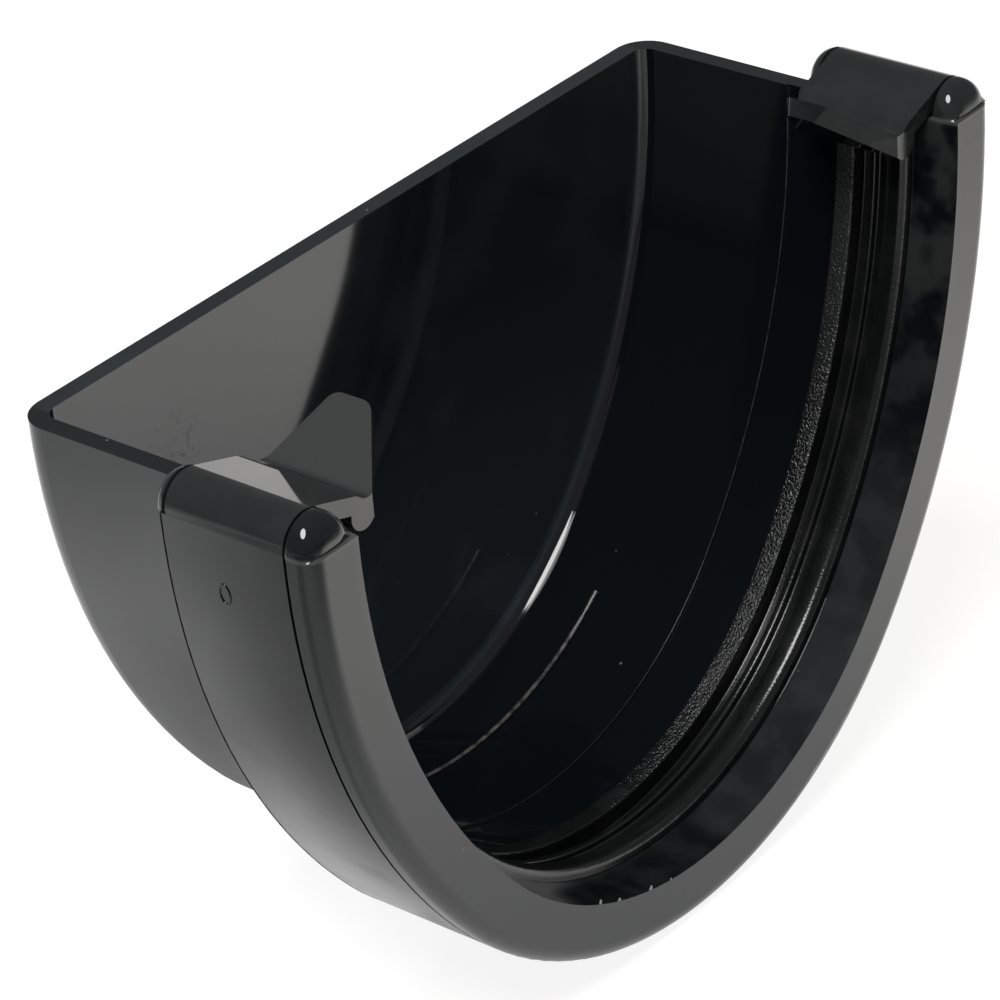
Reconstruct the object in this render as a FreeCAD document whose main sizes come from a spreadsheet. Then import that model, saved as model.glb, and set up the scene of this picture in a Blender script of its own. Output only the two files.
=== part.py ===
import FreeCAD, Part
import math
import os
import re

import Sketcher

# Gutter end cap: an external stop end for a deep 115 mm gutter. The cap, its socket and its two clips
# are one moulding, and a rubber seal lies in a channel round the socket.
# Frame: +X points out of the socket along the gutter, +Y and -Y are the two brims, and +Z is up.
# The origin lies in the plane of the mouth, on the middle line of the gutter, at brim height.

SIZES = {
    # The outside of the gutter that the socket takes, from its brim down
    "gutter_width": 115.0,
    "gutter_depth": 75.8,
    "bottom_radius": 46.5,
    # Closed end and plain trough
    "total_length": 52.0,
    "cap_wall": 2.6,
    "plate_thickness": 2.6,
    "slide_clearance": 0.8,
    "corner_round": 4.7,
    "inside_round": 2.1,
    # Socket round the seal
    "bore_setback": 3.0,
    "bore_step": 0.3,
    "socket_step": 6.74,
    "step_bevel": 0.4,
    "flange_thickness": 5.0,
    "channel_wall": 2.5,
    "channel_width": 11.3,
    "lead_in_length": 6.4,
    "throat_gap": 1.4,
    "mouth_gap": 2.2,
    # Rim of the mouth and the shadow line behind it
    "rim_length": 3.8,
    "rim_round": 2.3,
    "line_width": 0.4,
    "line_depth": 0.8,
    # Raised line that shows how far the gutter goes in
    "insertion_place": 12.4,
    "insertion_width": 0.7,
    "insertion_height": 0.3,
    "insertion_span": 57.0,
    # Rounded ends of each clip's roll: a hood over the rim, and a dome behind the step
    "hood_setback": 0.7,
    "hood_front_height": 1.0,
    "hood_middle": 1.9,
    "hood_middle_height": 3.2,
    "hood_taper": 0.3,
    "dome_radius": 3.8,
    "dome_length": 1.4,
    "dome_round": 2.2,
    # Clips that hook over the gutter's brim, each with a catch underneath and a thumb tab
    "clip_thickness": 2.3,
    "clip_setback": 1.2,
    "clip_slope": 18.0,
    "shoulder_inset": 2.9,
    "shoulder_round": 3.0,
    "crease_inset": 4.5,
    "crease_slope": 45.0,
    "crease_round": 1.8,
    "catch_inset": 3.6,
    "catch_radius": 2.1,
    "tab_angle": 38.8,
    "tab_length": 11.0,
    "tab_back_shoulder": 2.3,
    "tab_front_shoulder": 0.8,
    "tab_tip_place": 6.7,
    "tab_tip_width": 3.5,
    "tab_tip_round": 1.8,
    # Rubber seal in its channel
    "seal_clearance": 0.1,
    "seal_drop": 1.9,
    "seal_base_gap": 2.6,
    "pad_width": 2.9,
    "pad_gap": 0.2,
    "seal_bevel": 0.25,
    "groove_width": 2.1,
    "ridge_width": 1.1,
    "ridge_gap": 0.4,
    "recess_width": 1.6,
    "recess_gap": 1.3,
    "nose_bite": 0.3,
    "nose_round": 1.1,
}

doc = FreeCAD.newDocument("gutter_end_cap")
sheet = doc.addObject("Spreadsheet::Sheet", "sizes")
for row, (alias, number) in enumerate(SIZES.items(), start=1):
    sheet.set("A%d" % row, alias)
    sheet.set("B%d" % row, str(number))
    sheet.setAlias("B%d" % row, alias)
doc.recompute()


def sized(text):
    """The expression for the document: each size in the text gets the sheet's name in front."""
    return re.sub("[a-z_]+", lambda word: "sizes." + word[0] if word[0] in SIZES else word[0], text)


def value_of(text):
    """The number that an expression gives now."""
    return float(sheet.evalExpression(sized(text)))


# Distances of the walls from the outside of the gutter
BORE = "slide_clearance"
WIDE_BORE = "(slide_clearance + bore_step)"
CAP_OUTSIDE = "(slide_clearance + cap_wall)"
SOCKET_OUTSIDE = "(slide_clearance + cap_wall + socket_step)"
CHANNEL_FLOOR = "(slide_clearance + cap_wall + socket_step - channel_wall)"

# Places along X, from the mouth
PLATE_BACK = "(0 - total_length)"
PLATE_FRONT = "(plate_thickness - total_length)"
CHANNEL_FRONT = "(0 - lead_in_length)"
CHANNEL_BACK = "(0 - lead_in_length - channel_width)"
STEP = "(0 - lead_in_length - channel_width - flange_thickness)"
BORE_START = "(%s - bore_setback)" % STEP
LINE_BACK = "(0 - rim_length - line_width)"
LINE_FRONT = "(0 - rim_length)"
MOUTH = "0"

# Heights
BRIM = "0"
ABOVE_BRIM = "cap_wall"

# The gutter is three tangent arcs. Its sides stand upright at the brim, so the centres of the side
# arcs lie at brim height, beyond the middle line, and their distance from it follows from the rest.
HALF_WIDTH = "gutter_width / 2"
LOW_CENTRE = "(gutter_depth - bottom_radius)"
SIDE_EXCESS = "(%s - bottom_radius)" % HALF_WIDTH
SIDE_CENTRE = "((%s^2 / %s - %s) / 2)" % (LOW_CENTRE, SIDE_EXCESS, SIDE_EXCESS)

# Each clip rolls over the brim in a bead as thick as the rim is at the mouth
ROLL_RADIUS = "((%s - mouth_gap) / 2)" % SOCKET_OUTSIDE
ROLL_CENTRE = "(%s + (%s + mouth_gap) / 2)" % (HALF_WIDTH, SOCKET_OUTSIDE)

FLAT_AXIS, UPRIGHT_AXIS = range(-1, -3, -1)
START, END, CENTRE = range(1, 4)
ORIGIN = (FLAT_AXIS, START)
NEAR = 0.01


def new_body(label):
    body = doc.addObject("PartDesign::Body", label)
    body.Label = label
    return body


def origin_plane(body, role):
    return next(plane for plane in body.Origin.OriginFeatures if plane.Role == role)


def new_sketch(body, name, role, height):
    """A sketch on one of the body's own planes, moved along its normal."""
    sketch = body.newObject("Sketcher::SketchObject", name)
    sketch.AttachmentSupport = [(origin_plane(body, role), "")]
    sketch.MapMode = "FlatFace"
    sketch.setExpression("AttachmentOffset.Base.z", sized(height))
    return sketch


def tie(sketch, kind, *places):
    sketch.addConstraint(Sketcher.Constraint(kind, *places))


def drive(sketch, kind, places, text):
    """A dimension that follows the sheet."""
    unit = math.pi / 180 if kind == "Angle" else 1
    index = sketch.addConstraint(Sketcher.Constraint(kind, *places, value_of(text) * unit))
    sketch.setExpression("Constraints[%d]" % index, sized(text))


def place(sketch, kind, geometry, point, text):
    """Hold a point at a distance from the origin along one axis, on either side of it."""
    distance = value_of(text)
    if distance == 0:
        tie(sketch, "PointOnObject", geometry, point, FLAT_AXIS if kind == "DistanceY" else UPRIGHT_AXIS)
    elif distance < 0:
        drive(sketch, kind, (geometry, point, *ORIGIN), "0 - (%s)" % text)
    else:
        drive(sketch, kind, (*ORIGIN, geometry, point), text)


def add_arc(sketch, centre, radius, start, end):
    circle = Part.Circle(FreeCAD.Vector(*centre, 0), FreeCAD.Vector(0, 0, 1), radius)
    return sketch.addGeometry(Part.ArcOfCircle(circle, start, end))


def add_line(sketch, start, end):
    return sketch.addGeometry(Part.LineSegment(FreeCAD.Vector(*start, 0), FreeCAD.Vector(*end, 0)))


def join(sketch, first, first_point, second, second_point):
    """A straight edge between two end points."""
    line = sketch.addGeometry(
        Part.LineSegment(sketch.getPoint(first, first_point), sketch.getPoint(second, second_point))
    )
    tie(sketch, "Coincident", line, START, first, first_point)
    tie(sketch, "Coincident", line, END, second, second_point)
    return line


def polygon(sketch, corners):
    """A closed outline of straight edges with both places of each corner driven."""
    points = [(value_of(across), value_of(up)) for across, up in corners]
    lines = [add_line(sketch, here, there) for here, there in zip(points, points[1:] + points[:1])]
    for line, following in zip(lines, lines[1:] + lines[:1]):
        tie(sketch, "Coincident", line, END, following, START)
    for line, (across, up) in zip(lines, corners):
        place(sketch, "DistanceX", line, START, across)
        place(sketch, "DistanceY", line, START, up)


def trough_arcs(sketch, gap, top):
    """Three tangent arcs at a distance from the gutter: left side, bottom and right side."""
    side = value_of(SIDE_CENTRE)
    low = value_of(LOW_CENTRE)
    side_radius = side + value_of(HALF_WIDTH) + value_of(gap)
    turn = math.atan2(low, side)
    rise = math.asin(value_of(top) / side_radius)
    left = add_arc(sketch, (side, 0), side_radius, math.pi - rise, math.pi + turn)
    bottom = add_arc(sketch, (0, -low), value_of("bottom_radius + " + gap), math.pi + turn, -turn)
    right = add_arc(sketch, (-side, 0), side_radius, -turn, rise)
    tie(sketch, "Tangent", left, END, bottom, START)
    tie(sketch, "Tangent", bottom, END, right, START)
    drive(sketch, "Radius", (bottom,), "bottom_radius + " + gap)
    place(sketch, "DistanceY", left, START, top)
    place(sketch, "DistanceY", right, END, top)
    return left, bottom, right


def place_arcs(sketch, left, bottom, right):
    """Put the centres of a trough's arcs where the gutter has them."""
    tie(sketch, "PointOnObject", bottom, CENTRE, UPRIGHT_AXIS)
    tie(sketch, "PointOnObject", left, CENTRE, FLAT_AXIS)
    tie(sketch, "PointOnObject", right, CENTRE, FLAT_AXIS)
    drive(sketch, "DistanceY", (bottom, CENTRE, *ORIGIN), LOW_CENTRE)
    drive(sketch, "DistanceX", (*ORIGIN, left, CENTRE), SIDE_CENTRE)
    drive(sketch, "DistanceX", (right, CENTRE, *ORIGIN), SIDE_CENTRE)


def trough_outline(body, name, x, gap, top):
    """A whole cross-section of the trough, closed straight across at the top."""
    sketch = new_sketch(body, name, "YZ_Plane", x)
    left, bottom, right = trough_arcs(sketch, gap, top)
    place_arcs(sketch, left, bottom, right)
    join(sketch, right, END, left, START)
    return sketch


def trough_wall(body, name, x, inner, outer):
    """The cross-section of a wall round the trough, flat along both brims."""
    sketch = new_sketch(body, name, "YZ_Plane", x)
    outside = trough_arcs(sketch, outer, BRIM)
    inside = trough_arcs(sketch, inner, BRIM)
    place_arcs(sketch, *outside)
    for one, other in zip(inside, outside):
        tie(sketch, "Coincident", one, CENTRE, other, CENTRE)
    join(sketch, outside[0], START, inside[0], START)
    join(sketch, outside[2], END, inside[2], END)
    return sketch


def extrude(body, kind, name, sketch, length):
    feature = body.newObject("PartDesign::" + kind, name)
    feature.Profile = sketch
    feature.setExpression("Length", sized(length))
    body.Tip = feature
    doc.recompute()
    return feature


def add_wall(body, name, x, x_end, inner, outer):
    sketch = trough_wall(body, name + "_section", x, inner, outer)
    return extrude(body, "Pad", name, sketch, "%s - %s" % (x_end, x))


def gap_at(point):
    """How far a point lies outside the gutter."""
    side = value_of(SIDE_CENTRE)
    low = value_of(LOW_CENTRE)
    across = abs(point.y)
    under = -low - point.z
    if across * low < under * side:
        return math.hypot(across, under) - SIZES["bottom_radius"]
    return math.hypot(across + side, point.z) - side - value_of(HALF_WIDTH)


def named(feature, test):
    """Names of the edges of a feature that pass a test."""
    return ["Edge%d" % (i + 1) for i, edge in enumerate(feature.Shape.Edges) if test(edge)]


def samples(edge):
    first, last = edge.ParameterRange
    return [edge.valueAt(first + (last - first) * share) for share in (0, 0.3, 0.7, 1)]


def trough_edges(feature, x, gap):
    """The edges that run round the trough at one place along X and one distance from the gutter."""
    wanted_x = value_of(x)
    wanted_gap = value_of(gap)

    def runs_there(edge):
        points = samples(edge)
        if any(abs(point.x - wanted_x) > NEAR for point in points):
            return False
        return all(abs(gap_at(point) - wanted_gap) < NEAR for point in points)

    return named(feature, runs_there)


def ease_edges(body, kind, name, base, edges, size):
    """Round some edges of a feature, or bevel them."""
    feature = body.newObject("PartDesign::" + kind, name)
    feature.Base = (base, edges)
    feature.setExpression("Radius" if kind == "Fillet" else "Size", sized(size))
    body.Tip = feature
    doc.recompute()
    return feature


# Moulded body: end plate, plain trough, stepped socket and rim, one wall after the other along X
moulding = new_body("stop_end_body")
plate_section = trough_outline(moulding, "end_plate_section", PLATE_BACK, CAP_OUTSIDE, BRIM)
extrude(moulding, "Pad", "end_plate", plate_section, "plate_thickness")
add_wall(moulding, "trough_wall", PLATE_FRONT, BORE_START, BORE, CAP_OUTSIDE)
add_wall(moulding, "bore_wall", BORE_START, STEP, WIDE_BORE, CAP_OUTSIDE)
add_wall(moulding, "step_flange", STEP, CHANNEL_BACK, WIDE_BORE, SOCKET_OUTSIDE)
add_wall(moulding, "channel_wall", CHANNEL_BACK, CHANNEL_FRONT, CHANNEL_FLOOR, SOCKET_OUTSIDE)
add_wall(moulding, "lip_flange", CHANNEL_FRONT, LINE_BACK, "throat_gap", SOCKET_OUTSIDE)
add_wall(moulding, "shadow_line", LINE_BACK, LINE_FRONT, "throat_gap", SOCKET_OUTSIDE + " - line_depth")
add_wall(moulding, "rim", LINE_FRONT, MOUTH, "throat_gap", SOCKET_OUTSIDE)

# The mouth widens towards the front, to lead the gutter in
lead_in = moulding.newObject("PartDesign::SubtractiveLoft", "lead_in")
lead_in.Profile = trough_outline(moulding, "throat_section", CHANNEL_FRONT, "throat_gap", ABOVE_BRIM)
lead_in.Sections = [trough_outline(moulding, "mouth_section", MOUTH, "mouth_gap", ABOVE_BRIM)]
moulding.Tip = lead_in
doc.recompute()

# Rounded corners of the end plate, the step and the rim
corner = trough_edges(lead_in, PLATE_BACK, CAP_OUTSIDE)
corner_fillet = ease_edges(moulding, "Fillet", "plate_corner", lead_in, corner, "corner_round")
inside = trough_edges(corner_fillet, PLATE_FRONT, BORE)
inside_fillet = ease_edges(moulding, "Fillet", "plate_inside", corner_fillet, inside, "inside_round")
nose = trough_edges(inside_fillet, MOUTH, SOCKET_OUTSIDE)
rim_fillet = ease_edges(moulding, "Fillet", "rim_nose", inside_fillet, nose, "rim_round")
shoulder = trough_edges(rim_fillet, STEP, SOCKET_OUTSIDE)
ease_edges(moulding, "Chamfer", "step_shoulder", rim_fillet, shoulder, "step_bevel")

# Raised insertion line across the bottom of the trough
insertion = new_sketch(moulding, "insertion_line_section", "YZ_Plane", PLATE_BACK + " + insertion_place")
LINE_TOP = "bottom_radius + slide_clearance - insertion_height"
LINE_ROOT = "bottom_radius + slide_clearance + cap_wall / 2"
low_point = (0, -value_of(LOW_CENTRE))
down = -math.pi / 2
half_turn = math.asin(value_of("insertion_span / 2") / value_of(LINE_TOP))
bands = []
for radius in (LINE_TOP, LINE_ROOT):
    band = add_arc(insertion, low_point, value_of(radius), down - half_turn, down + half_turn)
    tie(insertion, "PointOnObject", band, CENTRE, UPRIGHT_AXIS)
    drive(insertion, "DistanceY", (band, CENTRE, *ORIGIN), LOW_CENTRE)
    drive(insertion, "Radius", (band,), radius)
    place(insertion, "DistanceX", band, START, "0 - insertion_span / 2")
    place(insertion, "DistanceX", band, END, "insertion_span / 2")
    bands.append(band)
join(insertion, bands[0], START, bands[1], START)
join(insertion, bands[0], END, bands[1], END)
extrude(moulding, "Pad", "insertion_line", insertion, "insertion_width")

# The brim at +Y: a neck, a hood over the rim, a dome behind the step, and the clip with its thumb tab.
# The shadow line of the rim goes round the neck between the clip and the hood.
NECK_RADIUS = ROLL_RADIUS + " - line_depth"
neck_section = new_sketch(moulding, "neck_section", "YZ_Plane", CHANNEL_FRONT)
neck_middle = FreeCAD.Vector(value_of(ROLL_CENTRE), 0, 0)
ring = neck_section.addGeometry(Part.Circle(neck_middle, FreeCAD.Vector(0, 0, 1), value_of(NECK_RADIUS)))
tie(neck_section, "PointOnObject", ring, CENTRE, FLAT_AXIS)
drive(neck_section, "DistanceX", (*ORIGIN, ring, CENTRE), ROLL_CENTRE)
drive(neck_section, "Radius", (ring,), NECK_RADIUS)
neck = extrude(moulding, "Pad", "neck", neck_section, "%s - %s" % (LINE_FRONT, CHANNEL_FRONT))


def hood_section(name, x, half_width, height):
    """A slice through the hood: an arc over a flat foot at brim height."""
    sketch = new_sketch(moulding, name, "YZ_Plane", x)
    middle = value_of(ROLL_CENTRE)
    wide = value_of(half_width)
    high = value_of(height)
    radius = (wide**2 + high**2) / (2 * high)
    turn = math.atan2(wide, radius - high)
    up = math.pi / 2
    arc = add_arc(sketch, (middle, high - radius), radius, up - turn, up + turn)
    join(sketch, arc, END, arc, START)
    for point, way in ((START, " + "), (END, " - ")):
        tie(sketch, "PointOnObject", arc, point, FLAT_AXIS)
        drive(sketch, "DistanceX", (*ORIGIN, arc, point), ROLL_CENTRE + way + half_width)
    squares = "((%s)^2 + (%s)^2)" % (half_width, height)
    place(sketch, "DistanceY", arc, CENTRE, "%s - %s / (2 * %s)" % (height, squares, height))
    return sketch


# The hood slopes down towards the mouth and leaves a narrow ledge above the face of the rim
hood = moulding.newObject("PartDesign::AdditiveLoft", "hood")
hood.Profile = hood_section("hood_back", LINE_FRONT, ROLL_RADIUS, ROLL_RADIUS)
HOOD_WIDTH = "(%s - hood_taper)" % ROLL_RADIUS
hood_middle = hood_section("hood_middle_slice", "0 - hood_middle", ROLL_RADIUS, "hood_middle_height")
hood_front = hood_section("hood_front", "0 - hood_setback", HOOD_WIDTH, "hood_front_height")
hood.Sections = [hood_middle, hood_front]
moulding.Tip = hood
doc.recompute()

# The dome is the upper half of a turned shape
dome_section = new_sketch(moulding, "dome_section", "XY_Plane", BRIM)
dome_section.setExpression("AttachmentOffset.Base.y", sized(ROLL_CENTRE))
DOME_END = "(%s - dome_length)" % STEP
dome_flat = value_of(CHANNEL_BACK)
dome_end = value_of(DOME_END)
dome_high = SIZES["dome_radius"]
dome_bend = SIZES["dome_round"]
axis = add_line(dome_section, (dome_flat, 0), (dome_end, 0))
face = add_line(dome_section, (dome_end, 0), (dome_end, dome_high - dome_bend))
bend_middle = (dome_end + dome_bend, dome_high - dome_bend)
bend = add_arc(dome_section, bend_middle, dome_bend, math.pi / 2, math.pi)
side = add_line(dome_section, (dome_end + dome_bend, dome_high), (dome_flat, dome_high))
flat_end = add_line(dome_section, (dome_flat, dome_high), (dome_flat, 0))
tie(dome_section, "Coincident", axis, END, face, START)
tie(dome_section, "Tangent", face, END, bend, END)
tie(dome_section, "Tangent", bend, START, side, START)
tie(dome_section, "Coincident", side, END, flat_end, START)
tie(dome_section, "Coincident", flat_end, END, axis, START)
tie(dome_section, "PointOnObject", axis, START, FLAT_AXIS)
for line in (axis, side):
    tie(dome_section, "Horizontal", line)
for line in (face, flat_end):
    tie(dome_section, "Vertical", line)
place(dome_section, "DistanceX", axis, START, CHANNEL_BACK)
place(dome_section, "DistanceX", axis, END, DOME_END)
drive(dome_section, "DistanceY", (*ORIGIN, flat_end, START), "dome_radius")
drive(dome_section, "Radius", (bend,), "dome_round")
dome = moulding.newObject("PartDesign::Revolution", "dome")
dome.Profile = dome_section
dome.ReferenceAxis = (dome_section, ["H_Axis"])
dome.Angle = 180
moulding.Tip = dome
doc.recompute()


def moved(point, angle, distance):
    """The point at a distance from another one, in the direction of an angle in degrees."""
    turn = math.radians(angle)
    return point[0] + distance * math.cos(turn), point[1] + distance * math.sin(turn)


# One sheet makes each clip. It rolls over the brim, slopes in to a shoulder, drops into a crease and
# rises again as the thumb tab. A round catch under the crease holds the inside of the gutter's brim.
SHOULDER = "(%s - shoulder_inset)" % HALF_WIDTH
CREASE = "(%s - crease_inset)" % HALF_WIDTH
CATCH = "(%s - catch_inset)" % HALF_WIDTH
CLIP_BACK = "(%s + clip_setback)" % STEP
clip_section = new_sketch(moulding, "clip_section", "YZ_Plane", CLIP_BACK)
thickness = SIZES["clip_thickness"]
catch_radius = SIZES["catch_radius"]
outer_roll = value_of(ROLL_RADIUS)
inner_roll = outer_roll - thickness
up_slope = 90 + SIZES["clip_slope"]
down_slope = 180 + SIZES["clip_slope"]
down_crease = 180 + SIZES["crease_slope"]
up_tab = 180 - SIZES["tab_angle"]
under_tab = up_tab + 90
roll_middle = (value_of(ROLL_CENTRE), 0)
roll_end = moved(roll_middle, up_slope, outer_roll)
inner_end = moved(roll_middle, up_slope, inner_roll)
slope_run = (value_of(SHOULDER) - roll_end[0]) / math.cos(math.radians(down_slope))
shoulder_top = moved(roll_end, down_slope, slope_run)
drop_run = (value_of(CREASE) - shoulder_top[0]) / math.cos(math.radians(down_crease))
crease = moved(shoulder_top, down_crease, drop_run)
tab_end = moved(crease, up_tab, SIZES["tab_length"])
under_end = moved(tab_end, under_tab, thickness)
below_crease = moved(crease, under_tab, thickness - catch_radius)
catch_run = (value_of(CATCH) - below_crease[0]) / math.cos(math.radians(up_tab))
catch_middle = moved(below_crease, up_tab, catch_run)
catch_start = moved(catch_middle, under_tab, catch_radius)
meets_slope = SIZES["clip_slope"]
catch_end = moved(catch_middle, meets_slope, catch_radius)
roll_out = add_arc(clip_section, roll_middle, outer_roll, 0, math.radians(up_slope))
roll_in = add_arc(clip_section, roll_middle, inner_roll, 0, math.radians(up_slope))
catch_turn = (math.radians(under_tab - 360), math.radians(meets_slope))
catch = add_arc(clip_section, catch_middle, catch_radius, *catch_turn)
slope_top = add_line(clip_section, shoulder_top, roll_end)
drop = add_line(clip_section, crease, shoulder_top)
tab_top = add_line(clip_section, crease, tab_end)
tip = add_line(clip_section, tab_end, under_end)
tab_under = add_line(clip_section, catch_start, under_end)
slope_under = add_line(clip_section, catch_end, inner_end)
foot = add_line(clip_section, (roll_middle[0] + inner_roll, 0), (roll_middle[0] + outer_roll, 0))
tie(clip_section, "Tangent", roll_out, END, slope_top, END)
tie(clip_section, "Tangent", roll_in, END, slope_under, END)
tie(clip_section, "Tangent", catch, START, tab_under, START)
tie(clip_section, "Coincident", slope_top, START, drop, END)
tie(clip_section, "Coincident", drop, START, tab_top, START)
tie(clip_section, "Coincident", tab_top, END, tip, START)
tie(clip_section, "Coincident", tip, END, tab_under, END)
tie(clip_section, "Coincident", catch, END, slope_under, START)
tie(clip_section, "Coincident", foot, START, roll_in, START)
tie(clip_section, "Coincident", foot, END, roll_out, START)
tie(clip_section, "Coincident", roll_in, CENTRE, roll_out, CENTRE)
tie(clip_section, "PointOnObject", roll_out, CENTRE, FLAT_AXIS)
tie(clip_section, "PointOnObject", foot, START, FLAT_AXIS)
tie(clip_section, "PointOnObject", foot, END, FLAT_AXIS)
tie(clip_section, "Parallel", slope_under, slope_top)
tie(clip_section, "Parallel", tab_under, tab_top)
tie(clip_section, "Perpendicular", tip, tab_top)
drive(clip_section, "DistanceX", (*ORIGIN, roll_out, CENTRE), ROLL_CENTRE)
drive(clip_section, "DistanceX", (*ORIGIN, slope_top, START), SHOULDER)
drive(clip_section, "DistanceX", (*ORIGIN, tab_top, START), CREASE)
drive(clip_section, "DistanceX", (*ORIGIN, catch, CENTRE), CATCH)
drive(clip_section, "Radius", (roll_out,), ROLL_RADIUS)
drive(clip_section, "Radius", (roll_in,), ROLL_RADIUS + " - clip_thickness")
drive(clip_section, "Radius", (catch,), "catch_radius")
drive(clip_section, "Angle", (slope_top,), "clip_slope")
drive(clip_section, "Angle", (drop,), "crease_slope")
drive(clip_section, "Angle", (tab_top,), "180 - tab_angle")
drive(clip_section, "Distance", (tab_top,), "tab_length")
drive(clip_section, "Distance", (tip,), "clip_thickness")
clip = extrude(moulding, "Pad", "clip", clip_section, "%s - %s" % (LINE_BACK, CLIP_BACK))

# The tab narrows from the crease to its tip: both corners come off, seen from above
TIP_Y = "(%s - tab_length * cos(tab_angle * 1deg) - clip_thickness * sin(tab_angle * 1deg))" % CREASE
TIP_BACK = "(%s + tab_tip_place)" % CLIP_BACK
TIP_FRONT = "(%s + tab_tip_place + tab_tip_width)" % CLIP_BACK
BACK_SHOULDER = CREASE + " + tab_back_shoulder"
FRONT_SHOULDER = CREASE + " - tab_front_shoulder"
trim_section = new_sketch(moulding, "tab_trim_section", "XY_Plane", "tab_length")
for shoulder_x, shoulder_y, tip_x, beyond in (
    (CLIP_BACK, BACK_SHOULDER, TIP_BACK, CLIP_BACK + " - clip_thickness"),
    (LINE_BACK, FRONT_SHOULDER, TIP_FRONT, LINE_BACK + " + clip_thickness"),
):
    past_tip = TIP_Y + " - clip_thickness"
    beside_tab = [(tip_x, past_tip), (beyond, past_tip), (beyond, shoulder_y)]
    polygon(trim_section, [(shoulder_x, shoulder_y), (tip_x, TIP_Y)] + beside_tab)
tab_trim = extrude(moulding, "Pocket", "tab_trim", trim_section, "2 * tab_length")

both_brims = moulding.newObject("PartDesign::Mirrored", "both_brims")
both_brims.Originals = [neck, hood, dome, clip, tab_trim]
both_brims.MirrorPlane = (origin_plane(moulding, "XZ_Plane"), [""])
moulding.Tip = both_brims
doc.recompute()


def lines_along(feature, y, z):
    """The edges along X at one place over each brim."""

    def runs_there(edge):
        return all(abs(abs(point.y) - y) < NEAR and abs(point.z - z) < NEAR for point in samples(edge))

    return named(feature, runs_there)


def tip_corners(feature):
    """The four short edges at the corners of the tab tips."""
    low = (min(tab_end[0], under_end[0]), min(tab_end[1], under_end[1]))
    high = (max(tab_end[0], under_end[0]), max(tab_end[1], under_end[1]))
    ends = (value_of(TIP_BACK), value_of(TIP_FRONT))

    def is_corner(edge):
        middle = edge.valueAt(sum(edge.ParameterRange) / 2)
        if not low[0] < abs(middle.y) < high[0] or not low[1] < middle.z < high[1]:
            return False
        return len(edge.Vertexes) == 2 and min(abs(middle.x - end) for end in ends) < SIZES["clip_thickness"]

    return named(feature, is_corner)


creases = lines_along(both_brims, *crease)
crease_fillet = ease_edges(moulding, "Fillet", "crease_bend", both_brims, creases, "crease_round")
shoulders = lines_along(crease_fillet, *shoulder_top)
shoulder_fillet = ease_edges(moulding, "Fillet", "clip_shoulder", crease_fillet, shoulders, "shoulder_round")
ease_edges(moulding, "Fillet", "tab_tips", shoulder_fillet, tip_corners(shoulder_fillet), "tab_tip_round")

# Rubber seal: one section with a flat pad, a thin ridge and a nose, swept round the channel
seal = new_body("gutter_seal")
SEAL_BACK = "(%s + seal_clearance)" % CHANNEL_BACK
SEAL_FRONT = "(%s - seal_clearance)" % CHANNEL_FRONT
PAD_FRONT = "(%s + pad_width)" % SEAL_BACK
RIDGE_BACK = "(%s + groove_width)" % PAD_FRONT
RIDGE_FRONT = "(%s + ridge_width)" % RIDGE_BACK
NOSE_BACK = "(%s + recess_width)" % RIDGE_FRONT
NOSE_GAP = "(0 - nose_bite)"
seal_path = new_sketch(seal, "seal_path", "YZ_Plane", MOUTH)
place_arcs(seal_path, *trough_arcs(seal_path, CHANNEL_FLOOR, BRIM))
seal_section = new_sketch(seal, "seal_section", "XY_Plane", BRIM)
outline = [
    (SEAL_BACK, "%s - seal_clearance" % CHANNEL_FLOOR),
    (SEAL_FRONT, "%s - seal_clearance" % CHANNEL_FLOOR),
    (SEAL_FRONT, NOSE_GAP),
    (NOSE_BACK, NOSE_GAP),
    (NOSE_BACK, "recess_gap"),
    (RIDGE_FRONT, "recess_gap"),
    (RIDGE_FRONT, "ridge_gap"),
    (RIDGE_BACK, "ridge_gap"),
    (RIDGE_BACK, "seal_base_gap"),
    (PAD_FRONT, "seal_base_gap"),
    (PAD_FRONT, "pad_gap"),
    (SEAL_BACK, "pad_gap"),
]
polygon(seal_section, [(x, "%s + %s" % (HALF_WIDTH, gap)) for x, gap in outline])
seal_sweep = seal.newObject("PartDesign::AdditivePipe", "seal_sweep")
seal_sweep.Profile = seal_section
seal_sweep.Spine = (seal_path, ["Edge1", "Edge2", "Edge3"])
seal.Tip = seal_sweep
doc.recompute()

nose_edges = trough_edges(seal_sweep, SEAL_FRONT, NOSE_GAP) + trough_edges(seal_sweep, NOSE_BACK, NOSE_GAP)
nose_fillet = ease_edges(seal, "Fillet", "seal_nose", seal_sweep, nose_edges, "nose_round")
sharp_edges = []
for x in (SEAL_BACK, PAD_FRONT):
    sharp_edges += trough_edges(nose_fillet, x, "pad_gap")
for x in (RIDGE_BACK, RIDGE_FRONT):
    sharp_edges += trough_edges(nose_fillet, x, "ridge_gap")
ease_edges(seal, "Chamfer", "seal_ridges", nose_fillet, sharp_edges, "seal_bevel")

# Both ends of the seal stop short of the clips
trim = new_sketch(seal, "seal_end_section", "XY_Plane", BRIM)
PAST_SEAL = "(%s + %s)" % (HALF_WIDTH, SOCKET_OUTSIDE)
one_brim = "0 - " + PAST_SEAL
back_corners = [(CHANNEL_BACK, PAST_SEAL), (CHANNEL_BACK, one_brim)]
front_corners = [(CHANNEL_FRONT, one_brim), (CHANNEL_FRONT, PAST_SEAL)]
polygon(trim, back_corners + front_corners)
extrude(seal, "Pocket", "seal_ends", trim, "seal_drop")

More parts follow.
